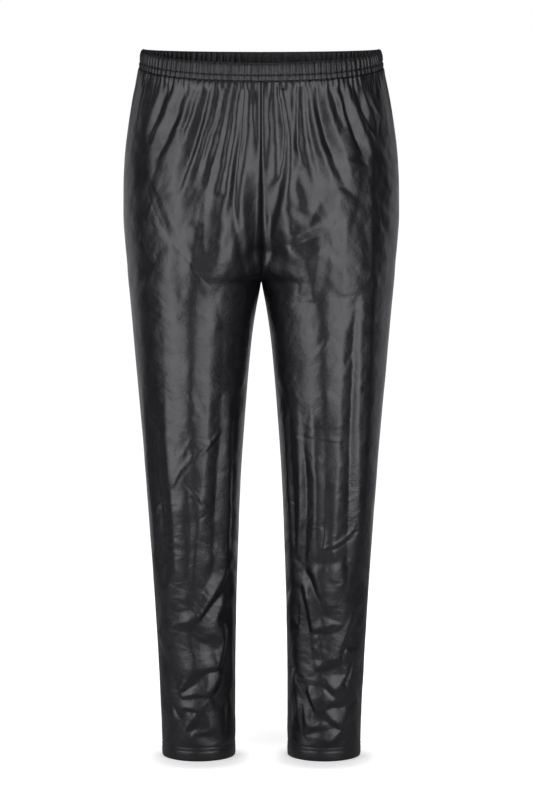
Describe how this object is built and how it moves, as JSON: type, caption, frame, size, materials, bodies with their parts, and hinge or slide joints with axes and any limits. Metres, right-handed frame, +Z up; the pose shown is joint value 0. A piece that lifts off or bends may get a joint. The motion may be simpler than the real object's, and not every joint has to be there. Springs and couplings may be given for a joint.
{
  "type": "leather trousers",
  "caption": "Full-length pull-on trousers in coated black leather-look cloth, filled out and hollow, with a gathered elastic waist and tapered legs.",
  "frame": {"origin": "middle of the waist opening, level with its top edge at the side seams", "axes": "+Z up, -Y out of the front, +X towards the wearer's left; the legs run down along -Z"},
  "size_m": [0.3834, 0.2617, 1],
  "materials": {
    "coated_leather": "smooth black coating with a soft gloss and a very fine grain",
    "casing_leather": "the same black coating, finely gathered over elastic"
  },
  "bodies": {
    "root": {"leg_front_left": "coated_leather", "leg_front_right": "coated_leather", "leg_back_left": "coated_leather", "leg_back_right": "coated_leather", "casing_front_left": "casing_leather", "casing_front_right": "casing_leather", "casing_back_left": "casing_leather", "casing_back_right": "casing_leather"}
  },
  "joints": []
}
